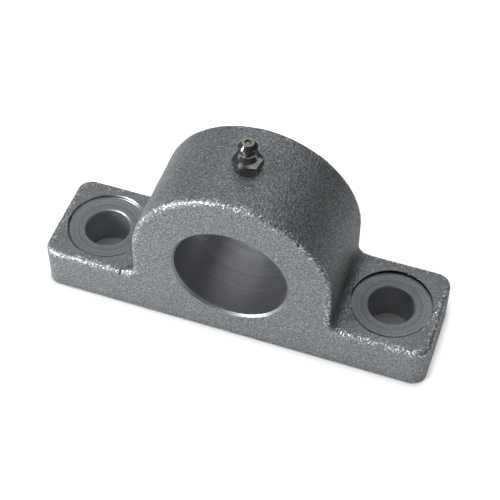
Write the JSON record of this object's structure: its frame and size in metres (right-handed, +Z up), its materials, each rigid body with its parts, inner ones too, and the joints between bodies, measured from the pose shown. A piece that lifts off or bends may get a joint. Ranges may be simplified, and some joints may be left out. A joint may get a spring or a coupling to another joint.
{
  "type": "pillow block bearing housing",
  "caption": "Cast steel pedestal bearing housing with a plain bore, two bolt feet and a grease nipple on its crown.",
  "frame": {"origin": "on the underside of the base, straight below the middle of the shaft bore; the base's underside is z = 0", "axes": "+X along the base from one bolt foot to the other, +Y along the shaft, +Z up from the base to the grease nipple"},
  "size_m": [0.1396, 0.037, 0.0778],
  "materials": {
    "cast_steel": "as cast and shot-blasted, with machined bore and bolt seats",
    "plated_steel": "turned and zinc plated, glossy",
    "hard_steel": "polished ball",
    "spring_steel": "drawn wire"
  },
  "bodies": {
    "housing": {"housing": "cast_steel", "grease_nipple_body": "plated_steel", "nipple_spring": "spring_steel"},
    "check_ball": {"nipple_check_ball": "hard_steel"}
  },
  "joints": [
    {"name": "check_ball_slide", "type": "slide", "parent": "housing", "child": "check_ball", "axis": [0, 0, 1], "range_m": [-0.0008, 0], "stiffness_N_per_m": 400, "springref_m": 0.002, "deforming": ["nipple_spring"]}
  ]
}
